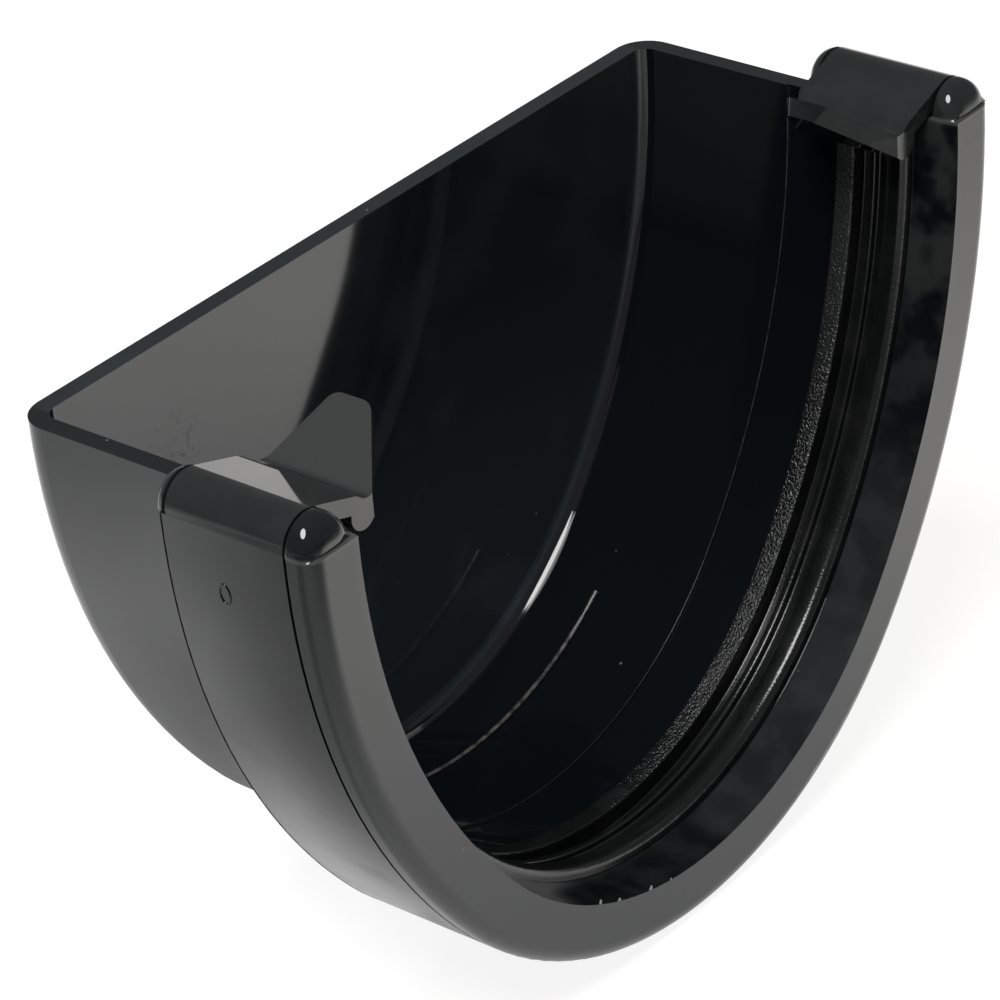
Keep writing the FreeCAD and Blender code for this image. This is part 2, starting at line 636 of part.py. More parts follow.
# Every object has to be sound before anything is written
doc.recompute()
for item in doc.Objects:
    if {"Invalid", "Error"} & set(item.State):
        raise RuntimeError("%s failed" % item.Label)
nodes = [moulding, seal]
for node in nodes:
    if node.Shape.isNull() or not node.Shape.isValid() or len(node.Shape.Solids) != 1:
        raise RuntimeError("%s is not one sound solid" % node.Label)
cuts = [lead_in, tab_trim, doc.getObject("seal_ends")]
for cut in cuts:
    if cut.Shape.Volume > cut.BaseFeature.Shape.Volume - NEAR:
        raise RuntimeError("%s cuts nothing" % cut.Label)

os.makedirs("parts", exist_ok=True)
for node in nodes:
    node.Shape.exportStep("parts/%s.step" % node.Label)
    print(node.Label, round(node.Shape.Volume, 1), node.Shape.BoundBox)
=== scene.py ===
import math

import bpy
import numpy as np
from mathutils import Matrix, Vector


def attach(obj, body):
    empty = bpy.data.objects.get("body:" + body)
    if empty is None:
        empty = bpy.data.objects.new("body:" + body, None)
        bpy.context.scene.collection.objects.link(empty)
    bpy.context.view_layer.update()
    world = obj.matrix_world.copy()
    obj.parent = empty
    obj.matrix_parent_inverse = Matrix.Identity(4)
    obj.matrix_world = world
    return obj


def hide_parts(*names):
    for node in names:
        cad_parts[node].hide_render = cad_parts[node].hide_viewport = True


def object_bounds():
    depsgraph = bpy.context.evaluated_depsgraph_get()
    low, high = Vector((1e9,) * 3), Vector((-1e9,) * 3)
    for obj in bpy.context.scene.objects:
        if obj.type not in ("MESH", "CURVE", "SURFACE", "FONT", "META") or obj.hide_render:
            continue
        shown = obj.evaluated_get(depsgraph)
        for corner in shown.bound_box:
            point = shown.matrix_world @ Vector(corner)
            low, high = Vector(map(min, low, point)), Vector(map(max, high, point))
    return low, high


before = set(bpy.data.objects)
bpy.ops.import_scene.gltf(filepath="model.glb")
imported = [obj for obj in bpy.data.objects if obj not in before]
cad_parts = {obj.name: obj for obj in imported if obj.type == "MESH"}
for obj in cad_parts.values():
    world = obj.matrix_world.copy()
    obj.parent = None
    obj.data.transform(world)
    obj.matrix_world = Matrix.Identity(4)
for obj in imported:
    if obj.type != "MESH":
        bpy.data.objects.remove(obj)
cad_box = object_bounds()


# Camera: a long lens looks down into the trough from the front and a little from the left,
# rolled by a few degrees as the photograph is.
LENS_MM = 160.7
SENSOR_MM = 36.0
VIEW_DISTANCE = 0.5652
VIEW_TARGET = Vector((-0.03031, -0.00018, -0.03499))
VIEW_AZIMUTH = math.radians(40.75)
VIEW_ELEVATION = math.radians(30.42)
VIEW_ROLL = math.radians(-4.58)
toward_camera = Vector((
    math.sin(VIEW_AZIMUTH) * math.cos(VIEW_ELEVATION),
    -math.cos(VIEW_AZIMUTH) * math.cos(VIEW_ELEVATION),
    math.sin(VIEW_ELEVATION),
))
level_right = Vector((math.cos(VIEW_AZIMUTH), math.sin(VIEW_AZIMUTH), 0.0))
level_up = toward_camera.cross(level_right)
image_right = level_right * math.cos(VIEW_ROLL) + level_up * math.sin(VIEW_ROLL)
image_up = toward_camera.cross(image_right)
camera_data = bpy.data.cameras.new("photo_camera")
camera_data.lens = LENS_MM
camera_data.sensor_width = SENSOR_MM
camera = bpy.data.objects.new("photo_camera", camera_data)
bpy.context.scene.collection.objects.link(camera)
camera.matrix_world = (
    Matrix.Translation(VIEW_TARGET + toward_camera * VIEW_DISTANCE)
    @ Matrix((image_right, image_up, toward_camera)).transposed().to_4x4()
)
bpy.context.scene.camera = camera


# Moulded body: one injection moulding in black PVC-U, with the end plate, the trough, the stepped
# socket and the two clips. The polished core of the mould leaves the inside glossy, the outside is
# satin, and handling has left smudges, scuffs and dust.
class Wire:
    """A socket of a node tree. Arithmetic on it adds Math nodes, and node() adds any other node."""

    def __init__(self, tree, socket=None):
        self.tree = tree
        self.socket = socket

    def node(self, kind, settings=None, inputs=None, output=0):
        """A new node: its settings first, then values or links for its sockets. Gives one output."""
        made = self.tree.nodes.new(kind)
        for name, value in (settings or {}).items():
            setattr(made, name, value)
        for name, value in (inputs or {}).items():
            if isinstance(value, Wire):
                self.tree.links.new(value.socket, made.inputs[name])
            else:
                made.inputs[name].default_value = value
        return Wire(self.tree, made.outputs[output] if len(made.outputs) else None)

    def maths(self, operation, first, second=0.0):
        """A Math node on two values."""
        return self.node("ShaderNodeMath", {"operation": operation}, {0: first, 1: second})

    def __add__(self, other):
        return self.maths("ADD", self, other)

    __radd__ = __add__

    def __sub__(self, other):
        return self.maths("SUBTRACT", self, other)

    def __rsub__(self, other):
        return self.maths("SUBTRACT", other, self)

    def __mul__(self, other):
        return self.maths("MULTIPLY", self, other)

    __rmul__ = __mul__

    def part(self, axis):
        """One part of a vector."""
        return self.node("ShaderNodeSeparateXYZ", inputs={"Vector": self}, output=axis)

    def scaled(self, factor):
        """A vector or a colour times one value."""
        return self.node("ShaderNodeVectorMath", {"operation": "SCALE"}, {0: self, "Scale": factor})

    def dot(self, direction):
        """How far a place lies in a direction."""
        pair = {0: self, 1: direction}
        return self.node("ShaderNodeVectorMath", {"operation": "DOT_PRODUCT"}, pair, "Value")

    def distance(self, place):
        """How far a place lies from another."""
        pair = {0: self, 1: place}
        return self.node("ShaderNodeVectorMath", {"operation": "DISTANCE"}, pair, "Value")

    def ramp(self, low, high):
        """From 0 to 1 as the value goes from one bound to the other, smooth at both ends."""
        bounds = {"Value": self, "From Min": low, "From Max": high}
        return self.node("ShaderNodeMapRange", {"interpolation_type": "SMOOTHSTEP"}, bounds)

    def noise(self, scale, detail=2.0):
        """Cloudy noise from 0 to 1. The scale counts blotches per unit."""
        return self.node("ShaderNodeTexNoise", inputs={"Vector": self, "Scale": scale, "Detail": detail})

    def blend(self, first, second):
        """A colour between two, with this value as the share of the second."""
        return self.node("ShaderNodeMix", {"data_type": "RGBA"}, {0: self, 6: first, 7: second}, 2)


def blank_finish(name):
    """A material with an empty node tree, and a wire to start from: Object coordinates in millimetres."""
    material = bpy.data.materials.new(name)
    material.use_nodes = True
    material.node_tree.nodes.clear()
    places = Wire(material.node_tree).node("ShaderNodeTexCoord", output="Object")
    return material, places.scaled(1000.0)


def close_finish(places, inputs):
    """Ends a finish: one Principled shader with these values or links, joined to the material's output."""
    shader = places.node("ShaderNodeBsdfPrincipled", inputs=inputs)
    places.node("ShaderNodeOutputMaterial", inputs={"Surface": shader})


# The gutter's outside in millimetres: a bottom arc with a tangent side arc up to each brim
HALF_WIDTH = 57.5
GUTTER_DEPTH = 75.8
BOTTOM_RADIUS = 46.5
LOW_CENTRE = GUTTER_DEPTH - BOTTOM_RADIUS
SIDE_EXCESS = HALF_WIDTH - BOTTOM_RADIUS
SIDE_CENTRE = (LOW_CENTRE**2 / SIDE_EXCESS - SIDE_EXCESS) / 2

# How far the inside of the mouth stands off the gutter
MOUTH_GAP = 2.2

# The bounds between which each mask turns over, in millimetres along one axis or away from the gutter
PLATE_FACE = (-49.5, -48.5)
BORE_WALL = (-0.5, 0.5)
LEAD_IN_START = (-6.5, -6.2)
LEAD_IN_WALL = (MOUTH_GAP + 0.05, MOUTH_GAP + 0.4)
OUTER_WALL = (MOUTH_GAP + 0.2, MOUTH_GAP + 1.0)
RIM_BACK = (-4.3, -3.9)
LEDGE_TOP = (-0.5, -0.1)
BRIM_EDGE = (0.0, 0.4)
TAB_ROOT = (51.5, 53.5)
MID_LINE = (-1.0, 1.0)

# The middle of a scuff on the end plate, and the distances over which it fades out
SCUFF_PLACE = (-49.4, -38.0, -15.0)
SCUFF_EDGE = (3.0, 9.0)

PLASTIC_COLOUR = (0.0030, 0.0041, 0.0052, 1.0)
PLATE_TINT_COLOUR = (0.026, 0.036, 0.042, 1.0)
HAZE_AND_LIGHT_COLOUR = (0.0205, 0.0215, 0.0215, 1.0)
PAINTED_LIGHT_COLOUR = (0.055, 0.056, 0.055, 1.0)
DUST_COLOUR = (0.18, 0.17, 0.15, 1.0)
PLASTIC_IOR = 1.55

plastic, places = blank_finish("glossy_black_pvc")
along = places.part("X")
across = places.maths("ABSOLUTE", places.part("Y"))
height = places.part("Z")

# Distance outwards from the gutter: from the side arc above the line through both centres, and from
# the bottom arc below it
side_gap = places.maths("SQRT", (across + SIDE_CENTRE) * (across + SIDE_CENTRE) + height * height)
side_gap = side_gap - (SIDE_CENTRE + HALF_WIDTH)
under = height + LOW_CENTRE
bottom_gap = places.maths("SQRT", across * across + under * under) - BOTTOM_RADIUS
in_bottom = places.maths("LESS_THAN", across * LOW_CENTRE + under * SIDE_CENTRE, 0.0)
gutter_gap = side_gap + in_bottom * (bottom_gap - side_gap)

# Which part of the moulding a place is on
near_side = 1.0 - places.part("Y").ramp(*MID_LINE)
over_brim = height.ramp(*BRIM_EDGE)
outside = gutter_gap.ramp(*OUTER_WALL) * (1.0 - over_brim)
lead_in = along.ramp(*LEAD_IN_START) * (1.0 - gutter_gap.ramp(*LEAD_IN_WALL)) * (1.0 - over_brim)
thumb_tab = over_brim * (1.0 - across.ramp(*TAB_ROOT))
hood_end = over_brim * along.ramp(*RIM_BACK)
ledge_highlight = height.ramp(*LEDGE_TOP) * (1.0 - over_brim) * along.ramp(*RIM_BACK)
on_plate = (1.0 - along.ramp(*PLATE_FACE)) * (1.0 - gutter_gap.ramp(*BORE_WALL))

# Traces of handling: smudges, wiped streaks, mottled haze, dust specks and fine scratches in the scuff
smudge = places.noise(0.055).ramp(0.50, 0.72)
wiped = places.node("ShaderNodeMapping", inputs={
    "Vector": places,
    "Scale": (1.0, 0.25, 1.4),
    "Rotation": (0.7, 0.0, 0.0),
})
streak = wiped.noise(0.10).ramp(0.52, 0.75)
mottle = places.noise(0.22).ramp(0.38, 0.66)
haze_and_painted_light = outside * streak * 0.30 + lead_in * mottle * (0.40 + height.ramp(-45.0, -10.0) * 0.75)
# Heavier haze over the brims, and painted light and shade: the near thumb tab lighter, the far one darker
haze_and_painted_light = haze_and_painted_light + over_brim * (0.60 + mottle * 0.2) + thumb_tab * (near_side * 1.4 - 0.6)
# Painted shade: the near hood is darker than the far one
haze_and_painted_light = haze_and_painted_light - hood_end * near_side * 0.6
# The end plate is painted a lighter blue-black, most towards its bottom and in the smudges
plate_tint = on_plate * (0.35 + (1.0 - height.ramp(-60.0, -15.0)) * 0.65) * (0.7 + smudge * 0.6)
specks = {"Vector": places, "Scale": 0.12}
dust = places.node("ShaderNodeTexVoronoi", {"feature": "F1"}, specks, "Distance")
dust = 1.0 - dust.ramp(0.010, 0.028)
scuffed = (1.0 - places.distance(SCUFF_PLACE).ramp(*SCUFF_EDGE)) * on_plate
scratch = places.maths("ABSOLUTE", places.noise(0.35) - 0.5)
scratch = scuffed * (1.0 - scratch.ramp(0.0, 0.03))

colour = haze_and_painted_light.blend(PLASTIC_COLOUR, HAZE_AND_LIGHT_COLOUR)
colour = plate_tint.blend(colour, PLATE_TINT_COLOUR)
# Painted reflection along the ledge at the top of the rim, and painted light on the near thumb tab
colour = (ledge_highlight + thumb_tab * near_side * 0.5).blend(colour, PAINTED_LIGHT_COLOUR)
colour = (dust * 0.8).blend(colour, DUST_COLOUR)
roughness = 0.05 + outside * 0.17 + lead_in * 0.10 + thumb_tab * near_side * 0.12
roughness = roughness + smudge * 0.03 + streak * outside * 0.06 + scratch * 0.25
flow = places.noise(0.045, 1.0)
flow_bump = places.node("ShaderNodeBump", inputs={"Strength": 0.10, "Distance": 0.0004, "Height": flow})
close_finish(places, {
    "Base Color": colour,
    "Roughness": roughness,
    "IOR": PLASTIC_IOR,
    "Normal": flow_bump,
})
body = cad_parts["stop_end_body"]
body.data.materials.clear()
body.data.materials.append(plastic)


# Rubber seal: one moulded strip of black rubber with a flat pad, a thin ridge and a nose, laid in its
# channel. Its edges are rounded, and its pad is finely grained and painted lighter towards its upper ends.
SEAL_TOP = -1.9
SEAL_CORNERS = np.array([
    # Place along X, distance from the gutter and corner radius, from the channel's floor round to the pad
    (-17.6, 7.5, 0.2),
    (-6.5, 7.5, 0.2),
    (-6.5, -0.3, 1.1),
    (-9.9, -0.3, 1.1),
    (-9.9, 1.3, 0.3),
    (-11.5, 1.3, 0.3),
    (-11.5, 0.4, 0.35),
    (-12.6, 0.4, 0.35),
    (-12.6, 2.6, 0.3),
    (-14.7, 2.6, 0.3),
    (-14.7, 0.2, 0.45),
    (-17.6, 0.2, 0.35),
])
CORNER_STEPS = 6
SEAL_STEPS = 261
PAD_FRONT = (-14.9, -14.6)
UPPER_PAD_HEIGHTS = (-45.0, -10.0)
RUBBER_COLOUR = (0.0042, 0.0045, 0.0046, 1.0)
BLOTCH_COLOUR = (0.0105, 0.0108, 0.0100, 1.0)
UPPER_PAD_COLOUR = (0.021, 0.0215, 0.0215, 1.0)

# Share of the way from the bottom to a brim at which the bottom arc ends and the side arc begins
SIDE_SHARE = 0.46

# Faces that meet at less than this angle look smooth
SMOOTH_ANGLE = math.radians(40.0)


def rounded(corners, steps):
    """A closed outline with square corners, each one an arc about a centre set in by its radius both ways."""
    place, radius = corners[:, None, :2], corners[:, None, 2:]
    back = np.roll(place, 1, axis=0) - place
    onward = np.roll(place, -1, axis=0) - place
    back = back / np.linalg.norm(back, axis=-1, keepdims=True)
    onward = onward / np.linalg.norm(onward, axis=-1, keepdims=True)
    angle = np.linspace(0.0, math.pi / 2, steps)[None, :, None]
    arcs = place + radius * (back * (1.0 - np.sin(angle)) + onward * (1.0 - np.cos(angle)))
    return arcs.reshape(-1, 2)


def round_trough(share, gap, top):
    """Y and Z round the trough at a distance from the gutter. The share runs from -1 at one brim, through 0
    at the bottom, to 1 at the other: a circle about the low centre, then one about the far side's centre."""
    turn = math.atan2(LOW_CENTRE, SIDE_CENTRE)
    side_radius = SIDE_CENTRE + HALF_WIDTH + gap
    low_radius = BOTTOM_RADIUS + gap
    climb = np.clip((np.abs(share) - SIDE_SHARE) / (1.0 - SIDE_SHARE), 0.0, 1.0)
    side_angle = turn + (np.arcsin(-top / side_radius) - turn) * climb
    low_angle = math.pi / 2 + (turn - math.pi / 2) * np.minimum(np.abs(share) / SIDE_SHARE, 1.0)
    on_side = climb > 0.0
    y = np.where(on_side, side_radius * np.cos(side_angle) - SIDE_CENTRE, low_radius * np.cos(low_angle))
    z = np.where(on_side, -side_radius * np.sin(side_angle), -LOW_CENTRE - low_radius * np.sin(low_angle))
    return np.sign(share) * y, z


def carried_round(section, shares, top):
    """A closed section carried round the trough. Each of its points keeps its place along X, and its distance
    from the gutter gives Y and Z at every share."""
    share_grid, spot_grid = np.meshgrid(shares, np.arange(len(section)), indexing="ij")
    y, z = round_trough(share_grid, section[spot_grid, 1], top)
    return np.stack([section[spot_grid, 0], y, z], axis=-1).reshape(-1, 3)


def tube_faces(rings, around, endless=False):
    """Quads over a grid that closes on itself one way. An endless tube's last ring joins its first, and any
    other tube has a flat face on each end."""
    ring, spot = np.meshgrid(np.arange(rings if endless else rings - 1), np.arange(around), indexing="ij")
    here = ring * around
    onward = (ring + 1) % rings * around
    beside = (spot + 1) % around
    quads = np.stack([here + spot, onward + spot, onward + beside, here + beside], axis=-1)
    last = (rings - 1) * around
    ends = [list(range(around)), list(range(last + around - 1, last - 1, -1))]
    return quads.reshape(-1, 4).tolist() + ([] if endless else ends)


def new_piece(name, points, faces, material):
    """A mesh object from points in millimetres, smooth where its faces meet at less than the smooth angle."""
    mesh = bpy.data.meshes.new(name)
    mesh.from_pydata((points / 1000.0).tolist(), [], faces)
    mesh.shade_smooth()
    mesh.set_sharp_from_angle(angle=SMOOTH_ANGLE)
    mesh.materials.append(material)
    piece = bpy.data.objects.new(name, mesh)
    bpy.context.scene.collection.objects.link(piece)
    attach(piece, "root")
    return piece


rubber, places = blank_finish("grained_black_rubber")
grain = places.noise(3.0)
blotch = places.noise(0.16, 3.0).ramp(0.45, 0.7)
on_pad = 1.0 - places.part("X").ramp(*PAD_FRONT)
# The pad is painted lighter towards its upper ends
upper_pad_tint = on_pad * places.part("Z").ramp(*UPPER_PAD_HEIGHTS)
colour = (blotch * 0.6).blend(RUBBER_COLOUR, BLOTCH_COLOUR)
colour = upper_pad_tint.blend(colour, UPPER_PAD_COLOUR)
grain_bump = places.node("ShaderNodeBump", inputs={
    "Strength": 0.6,
    "Distance": 0.0005,
    "Height": grain * (0.12 + on_pad * 0.88),
})
close_finish(places, {
    "Base Color": colour,
    "Roughness": 0.13 + grain * 0.12,
    "IOR": 1.52,
    "Normal": grain_bump,
})
section = rounded(SEAL_CORNERS, CORNER_STEPS)
seal_points = carried_round(section, np.linspace(-1.0, 1.0, SEAL_STEPS), SEAL_TOP)
seal = new_piece("rubber_seal", seal_points, tube_faces(SEAL_STEPS, len(section)), rubber)
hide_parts("gutter_seal")


# Hoods: the roll of each clip ends over the rim in a smooth dome, straight along the front of its foot.
# Both are moulded in one with the body, in the same black PVC-U.
HOOD_START = -3.8
HOOD_LENGTH = 3.35
HOOD_BACK = 0.02
HOOD_RADIUS = 3.99
HOOD_ROOT = 0.6
HOOD_RINGS = 61
HOOD_SIDES = 72
POLE_DEGREES = 1.0
ROLL_CENTRE = 63.67
SQUARENESS = 3.4


def hood_points(brim):
    """A dome over a squarish foot: rings of |x|^p + |y|^p = 1, drawn in by the sine of their latitude and
    raised by its cosine. Its back and its root are flattened, because they are sunk in the rim."""
    latitude = np.radians(np.linspace(POLE_DEGREES, 180.0 - POLE_DEGREES, HOOD_RINGS))
    longitude = np.linspace(0.0, 2 * math.pi, HOOD_SIDES, endpoint=False)
    up, turn = np.meshgrid(latitude, longitude, indexing="ij")
    size = (np.abs(np.cos(turn))**SQUARENESS + np.abs(np.sin(turn))**SQUARENESS)**(-1.0 / SQUARENESS)
    front = np.sin(up) * size * np.cos(turn)
    x = HOOD_START + np.where(front > 0.0, HOOD_LENGTH, HOOD_BACK) * front
    y = brim * ROLL_CENTRE + HOOD_RADIUS * np.sin(up) * size * np.sin(turn)
    z = np.where(np.cos(up) > 0.0, HOOD_RADIUS, HOOD_ROOT) * np.cos(up)
    return np.stack([x, y, z], axis=-1).reshape(-1, 3)


for name, brim in (("near_hood", -1), ("far_hood", 1)):
    hood = new_piece(name, hood_points(brim), tube_faces(HOOD_RINGS, HOOD_SIDES), plastic)


# Witness line: the mould parts along the step of the socket, and leaves a fine groove that runs round the
# wall and over the back of each roll. Its shade is painted: a thin black strip stands on the surface.
STEP = -22.7
WALL_LINE = (0.28, 0.50)
ROLL_LINE = (0.50, 0.92)
WALL_PROUD = 0.012
ROLL_PROUD = 0.03
LINE_SUNK = 0.05
LINE_TOP = -0.05
LINE_STEPS = 241
ROLL_STEPS = 60
ROLL_TURN = math.radians(150.0)
ROLL_RADIUS = 3.8
SOCKET_GAP = 10.14
GROOVE_SHADE_COLOURS = ((0.001, 0.001, 0.001, 1.0), (0.006, 0.006, 0.006, 1.0))


def line_section(bounds, surface, proud):
    """The four corners of a line's section: places along X from the step, and heights about a surface."""
    low, high = STEP + bounds[0], STEP + bounds[1]
    top, root = surface + proud, surface - LINE_SUNK
    return np.array([(low, top), (high, top), (high, root), (low, root)])


# Painted shadow: a dark, nearly unreflecting finish for the strips that stand in for the groove's shade
shadow, places = blank_finish("painted_groove_shade")
close_finish(places, {
    "Base Color": places.noise(1.2).blend(*GROOVE_SHADE_COLOURS),
    "Roughness": 0.9,
    "Specular IOR Level": 0.1,
})
section = line_section(WALL_LINE, SOCKET_GAP, WALL_PROUD)
line_points = carried_round(section, np.linspace(-1.0, 1.0, LINE_STEPS), LINE_TOP)
line = new_piece("step_line", line_points, tube_faces(LINE_STEPS, len(section)), shadow)

# Over a roll the same kind of section goes round the roll's axis by an angle
section = line_section(ROLL_LINE, ROLL_RADIUS, ROLL_PROUD)
turns = np.linspace(0.0, ROLL_TURN, ROLL_STEPS)
turn_grid, spot_grid = np.meshgrid(turns, np.arange(len(section)), indexing="ij")
roll_x, radius = section[spot_grid, 0], section[spot_grid, 1]
for name, brim in (("near_roll_line", -1), ("far_roll_line", 1)):
    roll_y = brim * (ROLL_CENTRE + radius * np.cos(turn_grid))
    roll_points = np.stack([roll_x, roll_y, radius * np.sin(turn_grid)], axis=-1).reshape(-1, 3)
    line = new_piece(name, roll_points, tube_faces(ROLL_STEPS, len(section)), shadow)


# Insertion line and bore line: a rounded rib across the bottom shows how far the gutter goes in, and a
# hairline bead stands where the bore widens. Both are moulded on, and carry painted highlights in patches.
INSERTION_PLACE = -39.25
INSERTION_REACH = 0.352
INSERTION_RADIUS = 0.34
INSERTION_SUNK = 0.18
BORE_PLACE = -25.7
BORE_REACH = 0.985
BORE_RADIUS = 0.07
BORE_PROUD = 0.02
BORE_GAP = 0.8
BEAD_STEPS = 201
BEAD_SIDES = 12
BEAD_COLOUR = (0.010, 0.0105, 0.0105, 1.0)
BEAD_HIGHLIGHT_COLOUR = (0.10, 0.098, 0.092, 1.0)


def bead_section(x, gap, radius):
    """A circle about one place along X and one distance from the gutter."""
    turns = np.linspace(0.0, 2 * math.pi, BEAD_SIDES, endpoint=False)
    return np.stack([x + radius * np.cos(turns), gap + radius * np.sin(turns)], axis=-1)


bead_finish, places = blank_finish("bead_painted_highlight")
highlight_patches = places.noise(0.8, 3.0).ramp(0.3, 0.7)
at_insertion = 1.0 - places.part("X").ramp(-34.0, -30.0)
high_up = places.part("Z").ramp(-66.0, -40.0)
close_finish(places, {
    # Painted highlights, strongest on the insertion rib and towards the top
    "Base Color": (highlight_patches * (high_up * 0.25 + at_insertion * 0.75)).blend(BEAD_COLOUR, BEAD_HIGHLIGHT_COLOUR),
    "Roughness": 0.22 + highlight_patches * 0.15,
    "IOR": PLASTIC_IOR,
})
for name, x, gap, radius, reach in (
    ("insertion_bead", INSERTION_PLACE, BORE_GAP - INSERTION_SUNK, INSERTION_RADIUS, INSERTION_REACH),
    ("bore_bead", BORE_PLACE, BORE_GAP + BORE_PROUD, BORE_RADIUS, BORE_REACH),
):
    shares = np.linspace(-reach, reach, BEAD_STEPS)
    bead_points = carried_round(bead_section(x, gap, radius), shares, LINE_TOP)
    bead = new_piece(name, bead_points, tube_faces(BEAD_STEPS, BEAD_SIDES), bead_finish)


# Gate mark: the plastic came into the mould on the side of the socket and left a small oval ring there.
# It is a low round bead of the same black PVC-U, half sunk in the wall and bent to its curve.
GATE_PLACE = (-14.0, -8.3)
GATE_HALF_SIZE = (0.75, 1.35)
GATE_BEAD = 0.15
GATE_STEPS = 40
GATE_SIDES = 10
turns = np.linspace(0.0, 2 * math.pi, GATE_STEPS, endpoint=False)
bead_turns = np.linspace(0.0, 2 * math.pi, GATE_SIDES, endpoint=False)
turn_grid, bead_grid = np.meshgrid(turns, bead_turns, indexing="ij")
reach = 1.0 + GATE_BEAD * np.cos(bead_grid)
gate_x = GATE_PLACE[0] + GATE_HALF_SIZE[0] * reach * np.cos(turn_grid)
gate_z = GATE_PLACE[1] + GATE_HALF_SIZE[1] * reach * np.sin(turn_grid)
gate_radius = SIDE_CENTRE + HALF_WIDTH + SOCKET_GAP + GATE_BEAD * np.sin(bead_grid)
gate_y = SIDE_CENTRE - np.sqrt(gate_radius**2 - gate_z**2)
gate_points = np.stack([gate_x, gate_y, gate_z], axis=-1).reshape(-1, 3)
gate = new_piece("gate_ring", gate_points, tube_faces(GATE_STEPS, GATE_SIDES, endless=True), plastic)


# Flash: a thin ragged fin of plastic left where the mould closed, along the lowest part of the mouth.
# It is the body's own PVC-U, so thin and torn that it looks pale.
FLASH_SHARES = (-0.26, -0.09)
FLASH_STEPS = 90
FLASH_FRONT = -0.02
FLASH_BACK = FLASH_FRONT - 0.12
FLASH_ROOT = MOUTH_GAP + 0.1
FLASH_LEAST = 0.06
FLASH_GROWTH = 0.55
FLASH_CUT = 1.3
FLASH_CAP = 1.2
FLASH_COLOURS = ((0.20, 0.19, 0.17, 1.0), (0.46, 0.44, 0.39, 1.0))
flash_skin, places = blank_finish("pale_flash")
close_finish(places, {
    "Base Color": places.noise(1.5).ramp(0.3, 0.7).blend(*FLASH_COLOURS),
    "Roughness": 0.55,
})

# Three sine waves of unlike pitch make the edge ragged, and only their peaks stand out
shares = np.linspace(*FLASH_SHARES, FLASH_STEPS)
ragged = np.sin(shares * 260.0) + np.sin(shares * 411.0 + 1.0) + 0.7 * np.sin(shares * 97.0 + 2.0)
fin = FLASH_LEAST + FLASH_GROWTH * np.clip(ragged - FLASH_CUT, 0.0, FLASH_CAP)
fin_gap = FLASH_ROOT - fin[:, None] * np.array([0.0, 1.0, 1.0, 0.0])
fin_x = np.broadcast_to(np.array([FLASH_FRONT, FLASH_FRONT, FLASH_BACK, FLASH_BACK]), fin_gap.shape)
fin_y, fin_z = round_trough(np.broadcast_to(shares[:, None], fin_gap.shape), fin_gap, SEAL_TOP)
fin_points = np.stack([fin_x, fin_y, fin_z], axis=-1).reshape(-1, 3)
flash = new_piece("mould_flash", fin_points, tube_faces(*fin_gap.shape), flash_skin)


# Stage: a white sweep of paper that runs from under the part and rises into a low backdrop far behind.
# In the plastic's reflections it is brighter to the right, and shaded on the camera's side, round the
# part and up the backdrop.
FLOOR_CLEARANCE = 0.0002
FLOOR_LEVEL = cad_box[0].z - FLOOR_CLEARANCE
REACH = 3.0
RISE_START = 0.75
RISE_RADIUS = 0.36
BACKDROP_HEIGHT = 0.30
SWEEP_STEPS = 24
BACK_ANGLE = math.radians(124.0)
BRIGHT_SIDE = (0.66, 0.75, 0.0)
CAMERA_SIDE = (0.65, -0.76, 0.0)
FRONT_SIDE = (0.83, -0.56, 0.0)
BACKDROP_LEFT = (-0.829, -0.559, 0.0)
FOOT_CENTRE = (-26.0, 0.0)
FOOT_HALF_SIZE = (60.0, 80.0)
PAPER_COLOUR = (0.30, 0.30, 0.30, 1.0)
PAPER_SEEN = 0.88
COOL_GLOW = (1.0, 1.0, 1.0, 1.0)
WARM_GLOW = (1.0, 0.98, 0.945, 1.0)


def sweep_height(run):
    """Height of the paper: level at first, then up along a quarter circle as far as the backdrop goes."""
    past = np.clip(run - RISE_START, 0.0, RISE_RADIUS)
    return np.minimum(RISE_RADIUS - np.sqrt(RISE_RADIUS**2 - past**2), BACKDROP_HEIGHT)


run = np.concatenate([[-REACH, 0.0], np.linspace(RISE_START, RISE_START + RISE_RADIUS, SWEEP_STEPS)])
breadth = np.array([-REACH, REACH])
run_grid, breadth_grid = np.meshgrid(run, breadth, indexing="ij")
paper_points = np.stack([
    run_grid * math.cos(BACK_ANGLE) - breadth_grid * math.sin(BACK_ANGLE),
    run_grid * math.sin(BACK_ANGLE) + breadth_grid * math.cos(BACK_ANGLE),
    FLOOR_LEVEL + sweep_height(run_grid),
], axis=-1).reshape(-1, 3)
first = np.arange(len(run) - 1) * 2
paper_faces = np.stack([first, first + 2, first + 3, first + 1], axis=-1)
floor_mesh = bpy.data.meshes.new("paper_sweep")
floor_mesh.from_pydata(paper_points.tolist(), [], paper_faces.tolist())
floor = bpy.data.objects.new("paper_sweep", floor_mesh)
bpy.context.scene.collection.objects.link(floor)

paper, places = blank_finish("white_paper")
along = places.part("X")
across = places.part("Y")
height = places.part("Z")
toward_bright = places.dot(BRIGHT_SIDE)
toward_front = places.dot(FRONT_SIDE)
foot_scale = (1.0 / FOOT_HALF_SIZE[0], 1.0 / FOOT_HALF_SIZE[1], 0.0)
foot_middle = (FOOT_CENTRE[0] * foot_scale[0], FOOT_CENTRE[1] * foot_scale[1], 0.0)
shrunk = places.node("ShaderNodeVectorMath", {"operation": "MULTIPLY"}, {0: places, 1: foot_scale})
from_foot = shrunk.distance(foot_middle)
near_floor = (1.0 - across.ramp(-70.0, -10.0)) * (1.0 - along.ramp(-30.0, 20.0))
risen = height.ramp(-70.0, -20.0)
paper_glow = 0.62 + toward_bright.ramp(-350.0, 350.0) * 1.25
paper_glow = paper_glow * (1.0 + near_floor * toward_front.ramp(-26.0, -12.0) * 0.8)
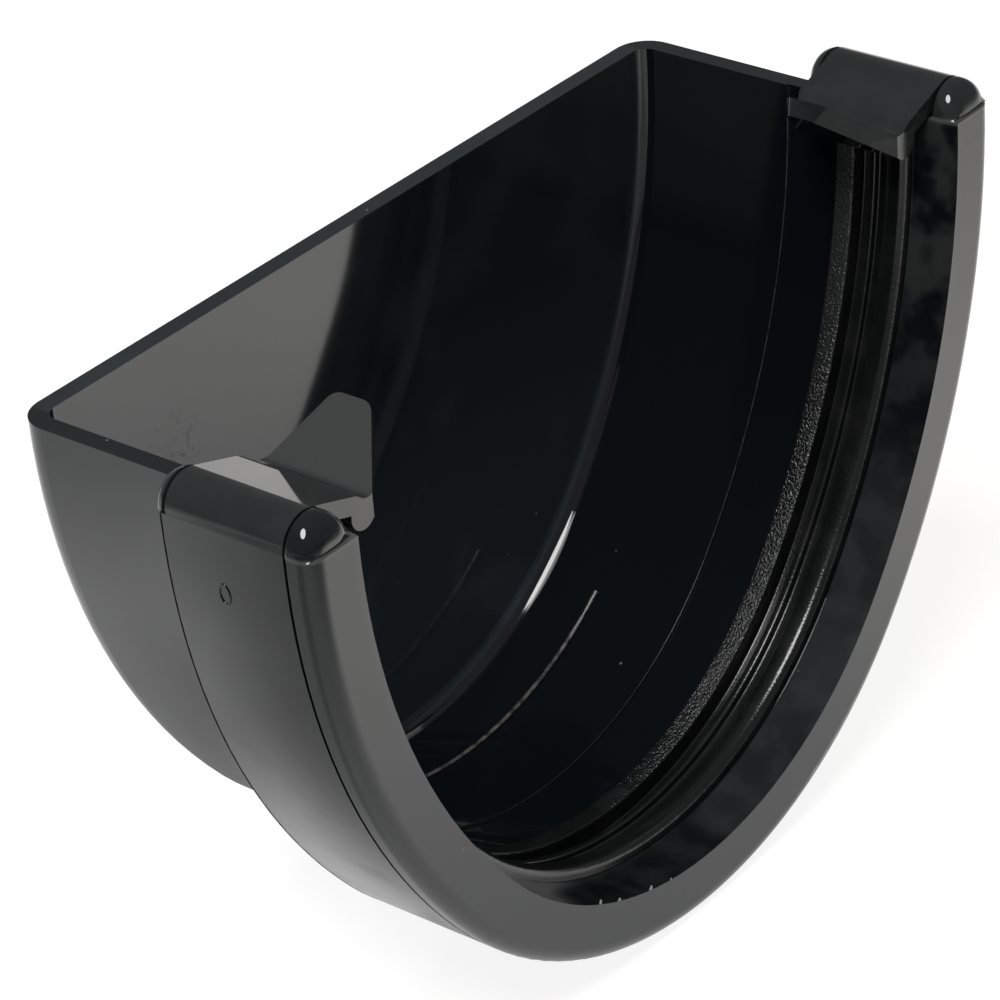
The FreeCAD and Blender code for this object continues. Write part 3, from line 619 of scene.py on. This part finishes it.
for shade in (
    # The floor on the camera's side, and before the near wall of the socket
    places.dot(CAMERA_SIDE).ramp(40.0, 120.0) * (0.50 + along.ramp(70.0, 150.0) * 0.38),
    near_floor * toward_front.ramp(-12.0, 4.0) * 0.86,
    # Far out past the mouth, and far out on the floor beyond the far brim
    along.ramp(180.0, 420.0) * 0.7,
    across.ramp(100.0, 260.0) * (1.0 - risen) * 0.4,
    # Round the foot, and close in under the closed end
    (1.0 - from_foot.ramp(0.5, 1.9)) * 0.40,
    (1.0 - along.ramp(-72.0, -42.0)) * (1.0 - from_foot.ramp(0.5, 1.7)) * 0.92,
    # The right of the backdrop, all of it, and its top
    risen * (1.0 - places.dot(BACKDROP_LEFT).ramp(35.0, 115.0)) * 0.35,
    risen * 0.2,
    height.ramp(-20.0, 215.0) * 0.9,
):
    paper_glow = paper_glow * (1.0 - shade)
camera_ray = places.node("ShaderNodeLightPath", output="Is Camera Ray")
glossy_ray = places.node("ShaderNodeLightPath", output="Is Glossy Ray")
glass_ray = places.node("ShaderNodeLightPath", output="Is Transmission Ray")
seen = camera_ray * PAPER_SEEN + glass_ray * PAPER_SEEN + glossy_ray * paper_glow
glow_colour = toward_bright.ramp(0.0, 110.0).blend(COOL_GLOW, WARM_GLOW)
matt = places.node("ShaderNodeBsdfDiffuse", inputs={"Color": PAPER_COLOUR})
glow = places.node("ShaderNodeEmission", inputs={"Color": glow_colour.scaled(seen), "Strength": 1.0})
both = places.node("ShaderNodeAddShader", inputs={0: matt, 1: glow})
places.node("ShaderNodeOutputMaterial", inputs={"Surface": both})
floor_mesh.materials.append(paper)


# Lamp and room: one round lamp, as bright all over as its radiance says, stands high over the part to the
# left of the camera. The room around is an even grey that fills the shadows.
LAMP_DIRECTION = Vector((0.15, -0.45, 0.88)).normalized()
LAMP_DISTANCE = 0.9
LAMP_SIZE = 0.49
LAMP_RADIANCE = 14.0
ROOM_COLOUR = (0.20, 0.205, 0.21, 1.0)
lamp = bpy.data.lights.new("flash", "AREA")
lamp.shape = "DISK"
lamp.size = LAMP_SIZE
lamp.energy = LAMP_RADIANCE * math.pi * math.pi * (LAMP_SIZE / 2)**2
holder = bpy.data.objects.new("flash", lamp)
bpy.context.scene.collection.objects.link(holder)
aim = (cad_box[0] + cad_box[1]) / 2
turned = (-LAMP_DIRECTION).to_track_quat("-Z", "Y").to_matrix().to_4x4()
holder.matrix_world = Matrix.Translation(aim + LAMP_DIRECTION * LAMP_DISTANCE) @ turned
world = bpy.data.worlds.new("room")
bpy.context.scene.world = world
world.use_nodes = True
background = world.node_tree.nodes["Background"]
background.inputs["Color"].default_value = ROOM_COLOUR
background.inputs["Strength"].default_value = 1.0
bpy.context.scene.view_settings.view_transform = "Standard"
